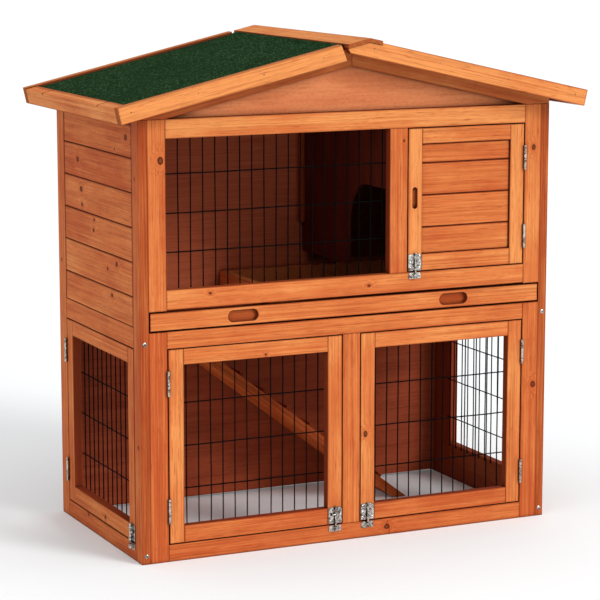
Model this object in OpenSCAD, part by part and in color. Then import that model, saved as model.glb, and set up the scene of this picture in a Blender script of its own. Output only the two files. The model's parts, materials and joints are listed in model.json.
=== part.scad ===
// Two-storey rabbit hutch with a hinged lid, mesh doors, nest box, tray and ramp.
// Millimetres, +Z up, +Y towards the back, standing on z = 0 and centred on x and y.

/* [Body] */
// Outer width of the body over the legs
body_width = 870; // [700:1:1100]
// Outer depth of the body over the legs
body_depth = 442; // [380:1:520]
// Width of a leg seen from the front
leg_width = 18; // [14:1:30]
// Depth of a front leg
front_leg_depth = 33; // [24:1:45]
// Depth of a back leg
back_leg_depth = 40; // [24:1:50]
// Thickness of the front frame members and the door members
frame_thick = 18; // [12:1:24]
// Width of the stiles beside the front legs
stile_width = 36; // [24:1:50]
// Height of the front legs and of the header's top edge
leg_height = 836; // [700:1:1000]

/* [Front openings] */
// Height of the rail along the ground
bottom_rail = 33; // [20:1:60]
// Bottom of the rail over the lower doors
lower_top_z = 408.5; // [350:0.5:480]
// Top of the rail over the lower doors
tray_sill_z = 440.5; // [380:0.5:520]
// Bottom of the sill rail over the tray
sill_bottom_z = 482; // [420:1:540]
// Top of the sill rail
sill_top_z = 519; // [450:1:580]
// Bottom of the header rail
header_z = 800; // [700:1:900]
// Left edge of the post between the upper mesh and the nest door
mullion_x = 517.5; // [420:0.5:620]
// Width of that post
mullion_width = 38; // [24:1:50]
// Left edge of the post between the lower doors
post_x = 418; // [320:1:520]
// Width of that post
post_width = 37; // [24:1:50]

/* [Doors] */
// Width of the door frame members
door_member = 30; // [20:1:45]
// Gap around a door
door_gap = 2; // [1:0.5:4]
// Gap on the hinged edge of a door
hinge_gap = 2.4; // [2:0.1:4]
// Height of a nest door plank
nest_plank = 62.4; // [40:0.1:90]
// Height of a hinge
hinge_height = 48; // [30:1:70]
// Diameter of a hinge barrel
barrel = 7; // [5:0.5:10]

/* [Mesh] */
// Thickness of a mesh wire
wire = 2; // [1.2:0.1:3]
// Spacing of the upright wires
wire_pitch = 25; // [15:0.5:40]

/* [Roof] */
// Slope of both roof halves in degrees
roof_pitch = 12.8; // [5:0.1:30]
// Overhang of the eaves beyond the body
over_side = 57; // [20:1:100]
// Overhang of the roof at the front
over_front = 50; // [20:1:100]
// Overhang of the roof at the back
over_back = 37; // [10:1:100]
// Height of the eave's top edge
eave_z = 864; // [750:1:950]
// Height of a rake board
rake_height = 32; // [20:1:50]
// Depth of the felt below the tops of the rakes
felt_drop = 5; // [2:0.5:10]
// Thickness of the roofing felt
felt_thick = 2; // [1:0.5:4]
// Thickness of a roof panel
panel_thick = 10; // [6:1:18]

/* [Inside] */
// Height of the upper floor's top face
floor_z = 441; // [400:1:500]
// Thickness of the upper floor
floor_thick = 9; // [6:1:15]
// Left edge of the tray
tray_x = 342; // [300:1:420]
// Left edge of the ramp hole
hole_x0 = 100; // [60:1:140]
// Right edge of the ramp hole
hole_x1 = 336; // [250:1:340]
// Front edge of the ramp
ramp_y = 250; // [200:1:300]
// Width of the ramp
ramp_width = 155; // [120:1:170]
// Slope of the ramp in degrees
ramp_slope = 37.5; // [30:0.5:45]
// Bottom edge of the partition, clear of the tray
partition_z = 508; // [485:1:520]
// Back edge of the partition's doorway, which is open to the front
doorway_back = 215; // [180:1:260]
// Top of the doorway
doorway_top = 678; // [640:1:720]

/* [Hidden] */
// Short names, and the clearances between boards that butt or meet
t = frame_thick;
bw = body_width;
bd = body_depth;
joint = 0.1;
slack = 0.2;

// Slope of the roof
tp = tan(roof_pitch);
cp = cos(roof_pitch);

// Edges of the legs and stiles: xs from the left, xe from the right, yl front and back
xs0 = leg_width;
xs1 = leg_width + stile_width;
xe1 = bw - xs0;
xe0 = bw - xs1;
yl0 = front_leg_depth;
yl1 = bd - back_leg_depth;

// Front and back edges of the roof, and where the body's front face lies in the frame
front_y = -over_front;
back_y = bd + over_back;
y_front = -(bd + over_back - over_front) / 2;

// Thin boards: the back panels and gables, and the face that they share
sheet = 6;
back_face = bd - 18;
back_panel_z = [[5, 430], [430.4, leg_height]];
back_rail_z = [[6, 44], [410, 450], [792, 830]];

// Side planks: the seams' heights, and how far the lips and the backs lie from the leg's face
side_plank_z = [448, 505, 570, 634.5, 699, 763, 828];
plank_lip = 0.5;
plank_rebate = 4;
plank_back = 12.5;
side_top_z = 857.5;

// Mesh window in the right side, the heights of the level wires, and how far a mesh laps its frame
window_in = 43;
window_top = lower_top_z - 36.5;
lower_mesh_z = [135, 217, 300];
upper_mesh_z = [586.5, 659.5, 732.5];
mesh_lap = 6;

// Upper floor on its bearers
bearer = 12;
bearer_z = 414;
hole_margin = 6;

// Partition: a thin board behind the post, with a batten against the back
part_t = 9;
part_x = mullion_x + mullion_width / 2 - part_t / 2;
part_top = 915;
doorway_round = 85;
batten_x = 11;
batten_y = 12;
batten_z = [569, 880];

// Roof: depth of felt and panel together, and how far the gables keep below the roof halves
roof_total = felt_drop + felt_thick + panel_thick;
lid_clear = roof_total + 1;
fixed_clear = roof_total + slack;
slope_len = (bw / 2 + over_side) / cp;
lid_len = 458;
right_len = slope_len - 15;
eave_w = 25;
eave_drop = 2.5;
saw_cut_y = [57, 360];
saw_cut_w = 2;
saw_cut_depth = 3;

// Battens under the roof on the gables
trim_t = 11.6;
trim_drop = 52;
trim_cut = (leg_height + slack - eave_z + trim_drop / cp) / tp;

// Ridge: the cap's left half lies below the plane of the rakes, its right half above
cap_t = 8;
cap_low = 2;
cap_high = 4;
cap_over = 3;
cap_x0 = 402.5;
cap_x = bw / 2 + (cap_low + cap_high) / 2 / tp;
cap_x1 = 474;
left_rake_foot = 401;
left_rake_top = 388.5;
right_rake_foot = 408;
beam_x0 = 402;
beam_x1 = 445;
beam_z = 930;
ledge = 16;
ledge_z = 943.5;

// Hinges: the barrel's centre stands this far out from the wood, and a leaf lies in the joint
hinge_axis = barrel / 2 + joint;
leaf = 1;
leaf_depth = 15;
leaf_in = 0.5;
lug_y = 2.2;
pin = 3;
bore = 3.2;
pin_head = bore + 0.4;
head_h = 1.5;
ring_gap = 0.15;
lower_hinge_z = [74, 319];
nest_hinge_z = [552, 708];
right_hinge_x = xe0 - hinge_gap / 2;
left_hinge_x = xs1 + hinge_gap / 2;
side_hinge_y = yl1 - hinge_gap / 2;

// Hinges between the roof halves
lid_ax = 396.5;
lid_az = 960;
lid_hinge_y = [40, 196, 352];
lid_hinge_len = 50;
lid_leaf = 1.2;
lid_leaf_z = 944;

// Doors
lower_door_z0 = bottom_rail + door_gap;
lower_door_z1 = lower_top_z - door_gap;
door_foot = door_member + 2;
nest_x0 = mullion_x + mullion_width + door_gap;
nest_x1 = xe0 - hinge_gap;
nest_z0 = sill_top_z + door_gap;
nest_z1 = header_z - door_gap;
ll_x0 = xs1 + hinge_gap;
ll_x1 = post_x - door_gap;
lr_x0 = post_x + post_width + door_gap;
lr_x1 = xe0 - hinge_gap;
sd_y0 = yl0 + door_gap;
sd_y1 = yl1 - hinge_gap;

// Nest door: the finger groove, the panel planks and the first seam's place above the top plank
groove_x = nest_x0 + 14.5;
groove_z = [648, 679];
groove_d = 11;
groove_depth = 7;
plank_y = [5, 14];
plank_gap = 0.5;
nest_cut = nest_z1 - door_member;
top_plank = nest_plank - 25;

// Latches: the plate with its guides, the keeper below, the rod and its knob
latch_w = 28;
latch_h = 33;
plate = 1.5;
rod = 4;
rod_y = 4.6;
guide_w = 10;
guide_h = 5;
guide_z = [3, 25];
guide_out = 3.6;
// The rod stands this far over the plate, so that its top stays in the upper guide when it is down
rod_over = 3;
keeper_w = 26;
keeper_z = [-15, -3];
strap_w = 11;
strap_z = [-13.5, -4.5];
strap_out = 3.8;
knob_d = 3.4;
knob_len = 9;
knob_z = 19.5;
nest_latch = [nest_x0 + latch_w / 2 + 0.5, 0, nest_z0];
ll_latch = [ll_x1 - latch_w / 2 - 0.5, 0, lower_door_z0];
lr_latch = [lr_x0 + latch_w / 2 + 0.5, 0, lower_door_z0];
side_latch = [0, sd_y0 + latch_w / 2 + 0.5, lower_door_z0];

// Screws through the legs
screw_z = [16, 420];
screw_d = 3.6;
screw_len = 12.2;
screw_head_d = 8;
screw_head_h = 1.4;

// Tray
tray_z = [444, 477];
tray_t = 16;
tray_rim = 15;
tray_bed = 4;
tray_end = xe1 - 6;
tray_back = back_face - 1;
finger_x = [209, 659];
finger_d = 23;
finger_len = 40;
finger_z = 460.5;
finger_depth = 9;

// Ramp: its pivot, half its thickness, how far it runs past the pivot, and its cleats
ramp_px = 120;
ramp_pz = 427;
ramp_pin = 6;
ramp_t = 9;
ramp_tail = 12;
ramp_foot = 1.5;
pivot_block = [20, 12];
pivot_z = 418;
pivot_out = 19;
cleats = 10;
cleat_first = 36;
cleat_step = 66;
cleat_w = 10;
cleat_h = 7;

// Colours
wood = [0.85, 0.58, 0.36];
wood_dark = [0.62, 0.34, 0.22];
ply = [0.87, 0.66, 0.50];
felt = [0.10, 0.20, 0.13];
black = [0.10, 0.10, 0.10];
zinc = [0.72, 0.73, 0.74];

// Heights of the two planes through the tops of the rakes
function zl(x) = eave_z + (x + over_side) * tp;
function zr(x) = eave_z + (bw + over_side - x) * tp;

// Moves the body's front left bottom corner to its place in the frame
module place() {
  translate([-bw / 2, y_front, 0]) children();
}

// A box from one corner to the other
module box(a, b) {
  translate(a) cube([b[0] - a[0], b[1] - a[1], b[2] - a[2]]);
}

// A profile in x and z, drawn out from y0 to y1
module slab_y(y0, y1, pts) {
  translate([0, y1, 0]) rotate([90, 0, 0]) linear_extrude(height = y1 - y0) polygon(pts);
}

// The left roof slope: x runs up the slope from the eave, z is square to it
module left_slope() {
  translate([-over_side, 0, eave_z]) rotate([0, -roof_pitch, 0]) children();
}

// The right roof slope, the same way up, mirrored
module right_slope() {
  translate([bw, 0, 0]) mirror([1, 0, 0]) left_slope() children();
}

// Mirrors a left hand piece to the right hand side
module other_side() {
  translate([bw, 0, 0]) mirror([1, 0, 0]) children();
}

// ---------------------------------------------------------------- body frame

module front_legs() {
  color(wood) place() {
    box([0, 0, 0], [xs0, yl0, leg_height]);
    box([xe1, 0, 0], [bw, yl0, leg_height]);
  }
}

module back_legs() {
  color(wood) place() {
    box([0, yl1, 0], [xs0, bd, leg_height]);
    box([xe1, yl1, 0], [bw, bd, leg_height]);
  }
}

module front_stiles() {
  color(wood) place() {
    box([xs0, 0, 0], [xs1, t, tray_sill_z]);
    box([xe0, 0, 0], [xe1, t, tray_sill_z]);
    box([xs0, 0, sill_bottom_z - 2], [xs1, t, leg_height]);
    box([xe0, 0, sill_bottom_z - 2], [xe1, t, leg_height]);
  }
}

module upper_front_rails() {
  color(wood) place() {
    box([xs1, 0, header_z], [xe0, t, leg_height]);
    box([xs1, 0, sill_bottom_z], [xe0, t, sill_top_z]);
  }
}

module front_mullion() {
  color(wood) place()
    box([mullion_x, 0, sill_top_z], [mullion_x + mullion_width, t, header_z]);
}

module lower_front_rails() {
  color(wood) place() {
    box([xs1, 0, lower_top_z], [xe0, t, tray_sill_z]);
    box([xs1, 0, 0], [xe0, t, bottom_rail]);
  }
}

module middle_post() {
  color(wood) place() box([post_x, 0, bottom_rail], [post_x + post_width, t, lower_top_z]);
}

// Shiplap boards: the upper edge of each is rebated behind the next one's lip
module side_planks() {
  last = len(side_plank_z) - 2;
  for (i = [0:last]) {
    low = side_plank_z[i];
    high = side_plank_z[i + 1];
    rebate = low + (i == 0 ? 0 : 4.6);
    tongue = high + (i == last ? 0 : 4.2);
    slab_y(yl0, yl1, [
      [plank_lip, low + 1.2],
      [plank_rebate, low + 0.6],
      [plank_rebate, rebate],
      [plank_back, rebate],
      [plank_back, tongue],
      [plank_rebate + 0.4, tongue],
      [plank_rebate + 0.4, high],
      [plank_lip + 1.5, high],
      [plank_lip, high - 2]
    ]);
  }
}

module left_side_planks() {
  color(wood) place() side_planks();
}

module right_side_planks() {
  color(wood) place() other_side() side_planks();
}

module side_top_rail() {
  box([plank_lip, yl0, side_plank_z[6]], [t, yl1, side_top_z]);
}

module side_top_rails() {
  color(wood) place() {
    side_top_rail();
    other_side() side_top_rail();
  }
}

module side_mid_rail() {
  box([0, yl0, lower_top_z], [t, yl1, side_plank_z[0]]);
}

module side_mid_rails() {
  color(wood) place() {
    side_mid_rail();
    other_side() side_mid_rail();
  }
}

module side_bottom_rail() {
  box([0, yl0, 0], [t, yl1, bottom_rail]);
}

module side_bottom_rails() {
  color(wood) place() {
    side_bottom_rail();
    other_side() side_bottom_rail();
  }
}

// Fixed frame of the mesh window in the lower right side
module window_frame() {
  y0 = yl0 + window_in;
  y1 = yl1 - window_in;
  color(wood) place() {
    box([xe1, yl0, bottom_rail], [bw, y0, lower_top_z]);
    box([xe1, y1, bottom_rail], [bw, yl1, lower_top_z]);
    box([xe1, y0 + joint, bottom_rail], [bw, y1 - joint, bottom_rail + window_in]);
    box([xe1, y0 + joint, window_top], [bw, y1 - joint, lower_top_z]);
  }
}

// ------------------------------------------------------------------- meshes

// A welded panel in x and z, behind the plane y = 0, with its wires centred
module mesh_panel(x0, x1, z0, z1, rows) {
  n = floor((x1 - x0 - 8) / wire_pitch);
  m = (x1 - x0 - n * wire_pitch) / 2;
  union() {
    for (i = [0:n])
      translate([x0 + m + i * wire_pitch - wire / 2, joint, z0 - mesh_lap])
        cube([wire, wire, z1 - z0 + 2 * mesh_lap]);
    for (z = rows)
      translate([x0 - mesh_lap, joint + wire / 2, z - wire / 2])
        cube([x1 - x0 + 2 * mesh_lap, wire, wire]);
  }
}

module upper_mesh() {
  color(black) place() translate([0, t, 0])
    mesh_panel(xs1, mullion_x, sill_top_z, header_z, upper_mesh_z);
}

module window_mesh() {
  color(black) place() translate([xe1, 0, 0]) rotate([0, 0, 90])
    mesh_panel(yl0 + window_in, yl1 - window_in, bottom_rail + window_in, window_top,
      lower_mesh_z);
}

// --------------------------------------------------------------- back, inside

module back_rails() {
  color(wood) place() for (z = back_rail_z)
    box([xs0, back_face + sheet, z[0]], [xe1, bd, z[1]]);
}

module back_panels() {
  color(wood_dark) place() for (z = back_panel_z)
    box([xs0, back_face, z[0]], [xe1, back_face + sheet, z[1]]);
}

module floor_bearers() {
  color(wood_dark) place() {
    box([xs0, t, bearer_z], [xs0 + bearer, back_face, floor_z - floor_thick]);
    box([xe1 - bearer, t, bearer_z], [xe1, back_face, floor_z - floor_thick]);
  }
}

// Upper floor with the hole for the ramp
module upper_floor() {
  color(wood_dark) place() difference() {
    box([xs0 + 0.5, t, floor_z - floor_thick], [xe1 - 0.5, back_face - 0.5, floor_z]);
    box([hole_x0, ramp_y - hole_margin, bearer_z],
        [hole_x1, ramp_y + ramp_width + hole_margin, tray_z[0]]);
  }
}

// Panel between the run and the nest box. Its doorway is open to the front, where the
// post stands, and has one round corner at the back
module partition() {
  y0 = t + 0.4;
  y_round = doorway_back - doorway_round;
  z_round = doorway_top - doorway_round;
  color(wood_dark) place() difference() {
    box([part_x, y0, partition_z], [part_x + part_t, back_face, part_top]);
    box([part_x - 1, y0 - 1, partition_z - 1], [part_x + part_t + 1, y_round, doorway_top]);
    box([part_x - 1, y0 - 1, partition_z - 1], [part_x + part_t + 1, doorway_back, z_round]);
    translate([part_x - 1, y_round, z_round])
      rotate([0, 90, 0]) cylinder(r = doorway_round, h = part_t + 2, $fn = 64);
  }
}

module partition_batten() {
  color(wood_dark) place()
    box([part_x - batten_x, back_face - batten_y, batten_z[0]], [part_x, back_face, batten_z[1]]);
}

// -------------------------------------------------------------------- gables

module gable(y0) {
  mid = bw / 2;
  slab_y(y0, y0 + sheet, [
    [0, leg_height + slack],
    [bw, leg_height + slack],
    [bw, zr(bw) - fixed_clear / cp],
    [mid, zr(mid) - fixed_clear / cp],
    [mid, zl(mid) - lid_clear / cp],
    [0, zl(0) - lid_clear / cp]
  ]);
}

module gable_panels() {
  color(ply) place() {
    gable(t - sheet);
    gable(back_face);
  }
}

// Sloping battens that finish the gables under the roof
module left_trim(y0) {
  mid = bw / 2 - slack;
  slab_y(y0, y0 + trim_t, [
    [trim_cut - over_side, leg_height + slack],
    [0, leg_height + slack],
    [0, zl(0) - lid_clear / cp],
    [mid, zl(mid) - lid_clear / cp],
    [mid, zl(mid) - trim_drop / cp]
  ]);
}

module gable_trim() {
  color(wood) place() {
    for (y = [slack, bd - trim_t - slack]) {
      left_trim(y);
      other_side() left_trim(y);
    }
  }
}

// ---------------------------------------------------------------------- roof

module ridge_beam() {
  under_cap = cap_low + slack + cap_t / cp;
  color(wood) place() slab_y(t + slack, back_face - slack, [
    [beam_x0 - ledge, beam_z],
    [beam_x1, beam_z],
    [beam_x1, zl(beam_x1) - under_cap],
    [beam_x0, zl(beam_x0) - under_cap],
    [beam_x0, ledge_z],
    [beam_x0 - ledge, ledge_z]
  ]);
}

// A sheet on a slope, between two distances from the eave and two depths
module sheet_on_slope(x0, x1, z0, z1) {
  box([x0, front_y + t + slack, z0], [x1, back_y - t - slack, z1]);
}

module roof_panel_right() {
  color(wood) place() right_slope()
    sheet_on_slope(eave_w, right_len, -roof_total, -felt_drop - felt_thick);
}

module roof_felt_right() {
  color(felt) place() right_slope()
    sheet_on_slope(eave_w + slack, right_len, -felt_drop - felt_thick, -felt_drop);
}

module right_rake(y0) {
  slab_y(y0, y0 + t, [
    [bw + over_side, eave_z],
    [cap_x1 + 0.3, zr(cap_x1 + 0.3)],
    [cap_x1 + 0.3, zr(cap_x1) + cap_high - slack - cap_t / cp],
    [cap_x, zr(cap_x) + cap_high - slack - cap_t / cp],
    [cap_x0, zl(cap_x0) - cap_low - slack - cap_t / cp],
    [right_rake_foot, zr(right_rake_foot) - rake_height / cp],
    [bw + over_side - rake_height * sin(roof_pitch), eave_z - rake_height * cp]
  ]);
}

module roof_rakes_right() {
  color(wood) place() {
    right_rake(front_y);
    right_rake(back_y - t);
  }
}

// Eave board with two saw cuts across its top
module eave_board() {
  difference() {
    sheet_on_slope(0, eave_w, -rake_height, -eave_drop);
    for (y = saw_cut_y)
      box([-1, y, -eave_drop - saw_cut_depth], [eave_w + 1, y + saw_cut_w, 0]);
  }
}

module roof_eave_right() {
  color(wood) place() right_slope() eave_board();
}

module ridge_cap() {
  color(wood) place() {
    slab_y(front_y - cap_over, back_y + cap_over, [
      [cap_x0, zl(cap_x0) - cap_low],
      [cap_x0, zl(cap_x0) - cap_low - cap_t / cp],
      [cap_x - joint, zl(cap_x) - cap_low - cap_t / cp],
      [cap_x - joint, zl(cap_x) - cap_low]
    ]);
    slab_y(front_y - cap_over, back_y + cap_over, [
      [cap_x + joint, zr(cap_x) + cap_high],
      [cap_x + joint, zr(cap_x) + cap_high - cap_t / cp],
      [cap_x1, zr(cap_x1) + cap_high - cap_t / cp],
      [cap_x1, zr(cap_x1) + cap_high]
    ]);
  }
}

module roof_panel_left() {
  color(wood) place() left_slope()
    sheet_on_slope(eave_w, lid_len, -roof_total, -felt_drop - felt_thick);
}

module roof_felt_left() {
  color(felt) place() left_slope()
    sheet_on_slope(eave_w + slack, lid_len, -felt_drop - felt_thick, -felt_drop);
}

module left_rake(y0) {
  slab_y(y0, y0 + t, [
    [-over_side, eave_z],
    [-over_side + rake_height * sin(roof_pitch), eave_z - rake_height * cp],
    [left_rake_foot, zl(left_rake_foot) - rake_height / cp],
    [left_rake_top, zl(left_rake_top)]
  ]);
}

module roof_rakes_left() {
  color(wood) place() {
    left_rake(front_y);
    left_rake(back_y - t);
  }
}

module roof_eave_left() {
  color(wood) place() left_slope() eave_board();
}

// -------------------------------------------------------------------- hinges

// One ring of a hinge barrel along z, bored for the pin
module knuckle(z0, z1) {
  translate([0, 0, z0]) difference() {
    cylinder(d = barrel, h = z1 - z0, $fn = 24);
    translate([0, 0, -1]) cylinder(d = bore, h = z1 - z0 + 2, $fn = 24);
  }
}

// The pinned half of a hinge: two end rings, the pin and a leaf towards +x
// y is 0 on the barrel's centre and grows into the wood
module hinge_fixed(h) {
  k = h / 3;
  union() {
    knuckle(0, k - ring_gap);
    knuckle(2 * k + ring_gap, h);
    cylinder(d = pin, h = h, $fn = 24);
    cylinder(d = pin_head, h = head_h, $fn = 24);
    translate([0, 0, h - head_h]) cylinder(d = pin_head, h = head_h, $fn = 24);
    box([slack, hinge_axis + leaf_in, 0], [slack + leaf, hinge_axis + leaf_depth, h]);
    for (z = [[0, k - ring_gap], [2 * k + ring_gap, h]])
      box([slack, lug_y, z[0]], [slack + leaf, hinge_axis + leaf_in + joint, z[1]]);
  }
}

// The free half: the middle ring and a leaf towards -x
module hinge_free(h) {
  k = h / 3;
  union() {
    knuckle(k + ring_gap, 2 * k - ring_gap);
    box([-slack - leaf, hinge_axis + leaf_in, 0], [-slack, hinge_axis + leaf_depth, h]);
    box([-slack - leaf, lug_y, k + ring_gap],
        [-slack, hinge_axis + leaf_in + joint, 2 * k - ring_gap]);
  }
}

module door_hinges_fixed() {
  color(zinc) place() {
    for (z = nest_hinge_z)
      translate([right_hinge_x, -hinge_axis, z]) hinge_fixed(hinge_height);
    for (z = lower_hinge_z) {
      translate([right_hinge_x, -hinge_axis, z]) hinge_fixed(hinge_height);
      translate([left_hinge_x, -hinge_axis, z])
        mirror([1, 0, 0]) hinge_fixed(hinge_height);
      translate([-hinge_axis, side_hinge_y, z])
        rotate([0, 0, 90]) mirror([0, 1, 0]) hinge_fixed(hinge_height);
    }
  }
}

module lid_ring(y0, y1) {
  translate([lid_ax, y1, lid_az]) rotate([90, 0, 0]) difference() {
    cylinder(d = barrel, h = y1 - y0, $fn = 24);
    translate([0, 0, -1]) cylinder(d = bore, h = y1 - y0 + 2, $fn = 24);
  }
}

module lid_pin(y0, y1, d) {
  translate([lid_ax, y1, lid_az]) rotate([90, 0, 0]) cylinder(d = d, h = y1 - y0, $fn = 24);
}

module roof_hinges_fixed() {
  k = lid_hinge_len / 3;
  color(zinc) place() for (y = lid_hinge_y) union() {
    lid_ring(y, y + k - ring_gap);
    lid_ring(y + 2 * k + ring_gap, y + 3 * k);
    lid_pin(y, y + 3 * k, pin);
    lid_pin(y, y + head_h, pin_head);
    lid_pin(y + 3 * k - head_h, y + 3 * k, pin_head);
    box([beam_x0 - lid_leaf - slack, y, lid_leaf_z],
        [beam_x0 - joint, y + 3 * k, lid_az - lid_leaf]);
    for (span = [[0, k - ring_gap], [2 * k + ring_gap, 3 * k]])
      box([lid_ax + 1.9, y + span[0], lid_az - 2 * lid_leaf],
          [beam_x0 - joint, y + span[1], lid_az - lid_leaf]);
  }
}

module roof_hinges_lid() {
  k = lid_hinge_len / 3;
  color(zinc) place() for (y = lid_hinge_y) union() {
    lid_ring(y + k + ring_gap, y + 2 * k - ring_gap);
    left_slope() {
      box([lid_len + slack, y, -roof_total],
          [lid_len + slack + lid_leaf, y + 3 * k, -felt_drop - 4]);
      box([lid_len + slack, y + k + ring_gap, -felt_drop - 5.4],
          [lid_len + 4, y + 2 * k - ring_gap, -felt_drop - 4]);
    }
  }
}

// ------------------------------------------------------------------- latches

// Plate with two bored guides, its face on y = 0, standing on z = 0
module latch_plate() {
  difference() {
    union() {
      box([-latch_w / 2, -plate, 1], [latch_w / 2, -joint, latch_h]);
      for (z = guide_z)
        box([-guide_w / 2, -rod_y - guide_out, z], [guide_w / 2, -1, z + guide_h]);
    }
    translate([0, -rod_y, -1]) cylinder(d = rod + 0.4, h = latch_h + 2, $fn = 24);
  }
}

// The rail's half of a latch, below the plate
module latch_keeper() {
  difference() {
    union() {
      box([-keeper_w / 2, -plate, keeper_z[0]], [keeper_w / 2, -joint, keeper_z[1]]);
      box([-strap_w / 2, -rod_y - strap_out, strap_z[0]], [strap_w / 2, -1, strap_z[1]]);
    }
    translate([0, -rod_y, keeper_z[0] - 1])
      cylinder(d = rod + 0.6, h = keeper_z[1] - keeper_z[0] + 2, $fn = 24);
  }
}

// Sliding rod with its thumb knob towards +x
module latch_bolt() {
  union() {
    translate([0, -rod_y, -3.5]) cylinder(d = rod, h = latch_h + rod_over + 3.5, $fn = 24);
    translate([0, -rod_y, knob_z]) rotate([0, 90, 0])
      cylinder(d = knob_d, h = knob_len, $fn = 24);
  }
}

module latch_keepers() {
  color(zinc) place() {
    translate(nest_latch) latch_keeper();
    translate(ll_latch) latch_keeper();
    translate(lr_latch) latch_keeper();
    translate(side_latch) rotate([0, 0, -90]) latch_keeper();
  }
}

// Round headed screws through the legs
module frame_screws() {
  color(zinc) place()
    for (x = [leg_width / 2, bw - leg_width / 2], z = screw_z)
      translate([x, screw_len - slack, z]) rotate([90, 0, 0]) {
        cylinder(d = screw_d, h = screw_len, $fn = 16);
        translate([0, 0, screw_len - joint])
          cylinder(d = screw_head_d, h = screw_head_h, $fn = 24);
      }
}

// --------------------------------------------------------------------- doors

// Four members round an opening, in x and z, behind y = 0
module door_frame(x0, x1, z0, z1) {
  a = x0 + door_member;
  b = x1 - door_member;
  box([x0, 0, z0], [a, t, z1]);
  box([b, 0, z0], [x1, t, z1]);
  box([a + joint, 0, z0], [b - joint, t, z0 + door_foot]);
  box([a + joint, 0, z1 - door_member], [b - joint, t, z1]);
}

module door_mesh(x0, x1, z0, z1) {
  translate([0, t, 0])
    mesh_panel(x0 + door_member, x1 - door_member, z0 + door_foot, z1 - door_member,
      lower_mesh_z);
}

module nest_door_frame() {
  color(wood) place() difference() {
    door_frame(nest_x0, nest_x1, nest_z0, nest_z1);
    box([groove_x - groove_d / 2, -1, groove_z[0]], [groove_x + groove_d / 2, groove_depth, groove_z[1]]);
    for (z = groove_z)
      translate([groove_x, groove_depth, z])
        rotate([90, 0, 0]) cylinder(d = groove_d, h = groove_depth + 1, $fn = 32);
  }
}

module nest_door_planks() {
  seams = [
    nest_z0 + door_foot,
    for (i = [2:-1:0]) nest_cut - top_plank - i * nest_plank,
    nest_cut
  ];
  color(wood) place() for (i = [0:3])
    box([nest_x0 + door_member, plank_y[0], seams[i] + plank_gap],
        [nest_x1 - door_member, plank_y[1], seams[i + 1] - plank_gap]);
}

module nest_door_fittings() {
  color(zinc) place() {
    for (z = nest_hinge_z)
      translate([right_hinge_x, -hinge_axis, z]) hinge_free(hinge_height);
    translate(nest_latch) latch_plate();
  }
}

module nest_bolt() {
  color(zinc) place() translate(nest_latch) latch_bolt();
}

module lower_left_door_frame() {
  color(wood) place() door_frame(ll_x0, ll_x1, lower_door_z0, lower_door_z1);
}

module lower_left_door_mesh() {
  color(black) place() door_mesh(ll_x0, ll_x1, lower_door_z0, lower_door_z1);
}

module lower_left_door_fittings() {
  color(zinc) place() {
    for (z = lower_hinge_z)
      translate([left_hinge_x, -hinge_axis, z])
        mirror([1, 0, 0]) hinge_free(hinge_height);
    translate(ll_latch) latch_plate();
  }
}

module lower_left_bolt() {
  color(zinc) place() translate(ll_latch) mirror([1, 0, 0]) latch_bolt();
}

module lower_right_door_frame() {
  color(wood) place() door_frame(lr_x0, lr_x1, lower_door_z0, lower_door_z1);
}

module lower_right_door_mesh() {
  color(black) place() door_mesh(lr_x0, lr_x1, lower_door_z0, lower_door_z1);
}

module lower_right_door_fittings() {
  color(zinc) place() {
    for (z = lower_hinge_z)
      translate([right_hinge_x, -hinge_axis, z]) hinge_free(hinge_height);
    translate(lr_latch) latch_plate();
  }
}

module lower_right_bolt() {
  color(zinc) place() translate(lr_latch) latch_bolt();
}

// The side door is drawn as a front door and turned onto the left side
module on_left_side() {
  mirror([1, 0, 0]) rotate([0, 0, 90]) children();
}

module side_door_frame() {
  color(wood) place() on_left_side()
    door_frame(sd_y0, sd_y1, lower_door_z0, lower_door_z1);
}

module side_door_mesh() {
  color(black) place() on_left_side()
    door_mesh(sd_y0, sd_y1, lower_door_z0, lower_door_z1);
}

module side_door_fittings() {
  color(zinc) place() {
    for (z = lower_hinge_z)
      translate([-hinge_axis, side_hinge_y, z])
        rotate([0, 0, 90]) mirror([0, 1, 0]) hinge_free(hinge_height);
    translate(side_latch) rotate([0, 0, -90]) latch_plate();
  }
}

module side_bolt() {
  color(zinc) place() translate(side_latch) rotate([0, 0, -90]) latch_bolt();
}

// ------------------------------------------------------------ tray and ramp

module finger_recess(x) {
  for (s = [-1, 1])
    translate([x + s * finger_len / 2, finger_depth, finger_z])
      rotate([90, 0, 0]) cylinder(d = finger_d, h = finger_depth + 3, $fn = 48);
  box([x - finger_len / 2, -3, finger_z - finger_d / 2],
      [x + finger_len / 2, finger_depth, finger_z + finger_d / 2]);
}

module tray_front() {
  color(wood) place() difference() {
    box([xs0 + 3, 0, tray_z[0]], [xe1 - 3, tray_t, tray_z[1]]);
    for (x = finger_x) finger_recess(x);
  }
}

module tray_floor() {
  color(wood) place()
    box([tray_x, tray_t, floor_z + 1], [tray_end, tray_back, floor_z + 1 + tray_bed]);
}

module tray_rims() {
  z0 = floor_z + 1 + tray_bed;
  color(wood) place() {
    box([tray_x, tray_t, z0], [tray_x + tray_rim, tray_back, tray_z[1]]);
    box([tray_end - tray_rim, tray_t, z0], [tray_end, tray_back, tray_z[1]]);
    box([tray_x + tray_rim + joint, tray_back - tray_rim, z0],
        [tray_end - tray_rim - joint, tray_back, tray_z[1]]);
  }
}

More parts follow.
